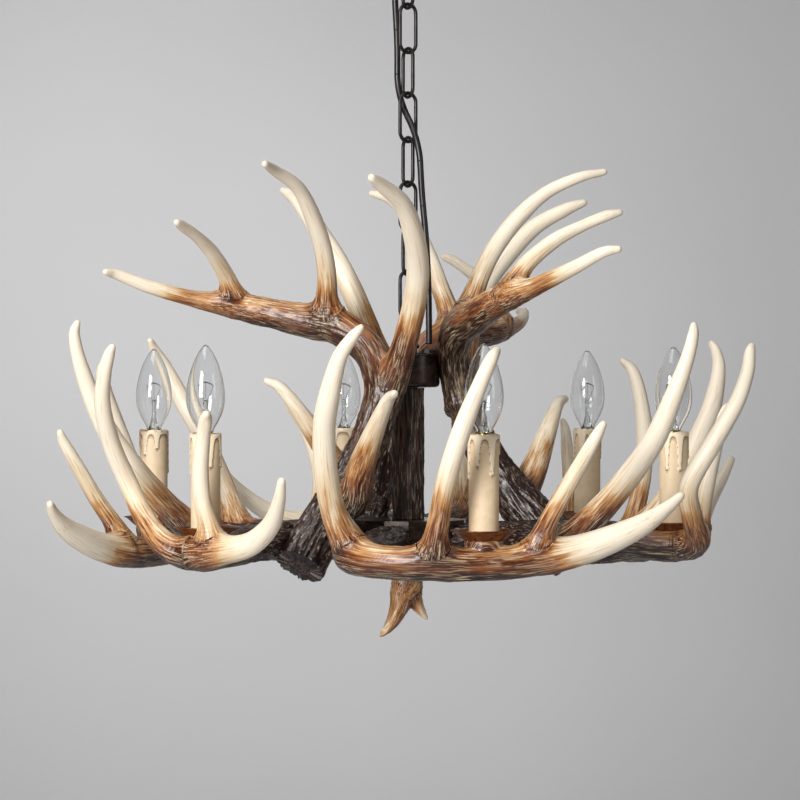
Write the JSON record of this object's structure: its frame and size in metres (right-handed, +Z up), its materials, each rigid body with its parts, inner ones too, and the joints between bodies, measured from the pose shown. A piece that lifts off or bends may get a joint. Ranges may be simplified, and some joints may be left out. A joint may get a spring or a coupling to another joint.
{
  "type": "antler chandelier",
  "caption": "Hanging chandelier of cast antlers around a hub, with candle lamps in drip pans, a bark-ridged column, a chain and a ceiling canopy.",
  "frame": {"origin": "in the ceiling's plane, on the centre line, midway between the ceiling bar's two screw holes", "axes": "+Z up, -Y towards the viewer of the picture, X to the right; the chain hangs down along -Z"},
  "size_m": [0.6647, 0.6726, 0.7013],
  "materials": {
    "plated_steel": "zinc-plated, dull",
    "bronzed_brass": "antique bronze, satin",
    "black_plastic": "moulded, matt",
    "brown_cord": "brown sheath, satin",
    "dark_paint": "dark bronze paint, satin",
    "bark_resin": "cast resin, dark bark paint",
    "dark_iron": "painted, matt",
    "white_plastic": "moulded, matt",
    "antler_resin": "cast resin, hand-painted: dark grooved root to ivory tips",
    "rust_paint": "rust-brown bronze paint, satin",
    "wax_card": "card tube with wax drips, cream",
    "cap_brass": "bright, rolled thread",
    "clear_glass": "clear, smooth"
  },
  "bodies": {
    "ceiling_plate": {"ceiling_bar": "plated_steel", "ceiling_canopy": "bronzed_brass", "ceiling_nuts": "plated_steel", "ceiling_tube": "plated_steel", "ceiling_loop": "bronzed_brass", "cord_grommet": "black_plastic", "supply_cord": "brown_cord"},
    "link_1": {"chain_link_1": "bronzed_brass"},
    "link_2": {"chain_link_2": "bronzed_brass"},
    "link_3": {"chain_link_3": "bronzed_brass"},
    "link_4": {"chain_link_4": "bronzed_brass"},
    "link_5": {"chain_link_5": "bronzed_brass"},
    "link_6": {"chain_link_6": "bronzed_brass"},
    "link_7": {"chain_link_7": "bronzed_brass"},
    "link_8": {"chain_link_8": "bronzed_brass"},
    "fixture": {"cord_gland": "black_plastic", "fixture_loop": "bronzed_brass", "loop_nut": "bronzed_brass", "cap_lid": "dark_paint", "top_cap": "dark_paint", "lamp_pipe": "plated_steel", "column": "bark_resin", "hub_drum": "dark_iron", "hub_cover": "dark_paint", "hub_nut": "plated_steel", "terminal_block": "white_plastic", "finial_antler": "antler_resin", "antler_bolts": "plated_steel", "lower_antler_a1": "antler_resin", "lower_antler_a2": "antler_resin", "lower_antler_a3": "antler_resin", "lower_antler_b1": "antler_resin", "lower_antler_b2": "antler_resin", "lower_antler_b3": "antler_resin", "upper_antler1": "antler_resin", "upper_antler2": "antler_resin", "upper_antler3": "antler_resin", "drip_pans": "rust_paint", "candle_studs": "plated_steel", "lamp_holders": "black_plastic", "candle_sleeve_1": "wax_card", "candle_sleeve_2": "wax_card", "candle_sleeve_3": "wax_card", "candle_sleeve_4": "wax_card", "candle_sleeve_5": "wax_card", "candle_sleeve_6": "wax_card"},
    "lamp_1": {"bulb_1": "clear_glass", "lamp_cap_1": "cap_brass"},
    "lamp_2": {"bulb_2": "clear_glass", "lamp_cap_2": "cap_brass"},
    "lamp_3": {"bulb_3": "clear_glass", "lamp_cap_3": "cap_brass"},
    "lamp_4": {"bulb_4": "clear_glass", "lamp_cap_4": "cap_brass"},
    "lamp_5": {"bulb_5": "clear_glass", "lamp_cap_5": "cap_brass"},
    "lamp_6": {"bulb_6": "clear_glass", "lamp_cap_6": "cap_brass"}
  },
  "joints": [
    {"name": "ceiling_loop_swing", "type": "hinge", "parent": "ceiling_plate", "child": "link_1", "pos_m": [0, 0, -0.06375], "axis": [0.848, 0.5299, 0], "range_deg": [-8, 8], "deforming": ["supply_cord"]},
    {"name": "link_1_swing", "type": "hinge", "parent": "link_1", "child": "link_2", "pos_m": [0, 0, -0.10545], "axis": [-0.5299, 0.848, 0], "range_deg": [-8, 8], "deforming": ["supply_cord"]},
    {"name": "link_2_swing", "type": "hinge", "parent": "link_2", "child": "link_3", "pos_m": [0, 0, -0.14765], "axis": [0.848, 0.5299, 0], "range_deg": [-8, 8], "deforming": ["supply_cord"]},
    {"name": "link_3_swing", "type": "hinge", "parent": "link_3", "child": "link_4", "pos_m": [0, 0, -0.18985], "axis": [-0.5299, 0.848, 0], "range_deg": [-8, 8], "deforming": ["supply_cord"]},
    {"name": "link_4_swing", "type": "hinge", "parent": "link_4", "child": "link_5", "pos_m": [0, 0, -0.23205], "axis": [0.848, 0.5299, 0], "range_deg": [-8, 8], "deforming": ["supply_cord"]},
    {"name": "link_5_swing", "type": "hinge", "parent": "link_5", "child": "link_6", "pos_m": [0, 0, -0.27425], "axis": [-0.5299, 0.848, 0], "range_deg": [-8, 8], "deforming": ["supply_cord"]},
    {"name": "link_6_swing", "type": "hinge", "parent": "link_6", "child": "link_7", "pos_m": [0, 0, -0.31645], "axis": [0.848, 0.5299, 0], "range_deg": [-8, 8], "deforming": ["supply_cord"]},
    {"name": "link_7_swing", "type": "hinge", "parent": "link_7", "child": "link_8", "pos_m": [0, 0, -0.35865], "axis": [-0.5299, 0.848, 0], "range_deg": [-8, 8], "deforming": ["supply_cord"]},
    {"name": "fixture_swing", "type": "hinge", "parent": "link_8", "child": "fixture", "pos_m": [0, 0, -0.40085], "axis": [0.848, 0.5299, 0], "range_deg": [-8, 8], "deforming": ["supply_cord"]},
    {"name": "lamp_1_out", "type": "slide", "parent": "fixture", "child": "lamp_1", "axis": [0, 0, 1], "range_m": [0, 0.026]},
    {"name": "lamp_2_out", "type": "slide", "parent": "fixture", "child": "lamp_2", "axis": [0, 0, 1], "range_m": [0, 0.026]},
    {"name": "lamp_3_out", "type": "slide", "parent": "fixture", "child": "lamp_3", "axis": [0, 0, 1], "range_m": [0, 0.026]},
    {"name": "lamp_4_out", "type": "slide", "parent": "fixture", "child": "lamp_4", "axis": [0, 0, 1], "range_m": [0, 0.026]},
    {"name": "lamp_5_out", "type": "slide", "parent": "fixture", "child": "lamp_5", "axis": [0, 0, 1], "range_m": [0, 0.026]},
    {"name": "lamp_6_out", "type": "slide", "parent": "fixture", "child": "lamp_6", "axis": [0, 0, 1], "range_m": [0, 0.026]}
  ]
}
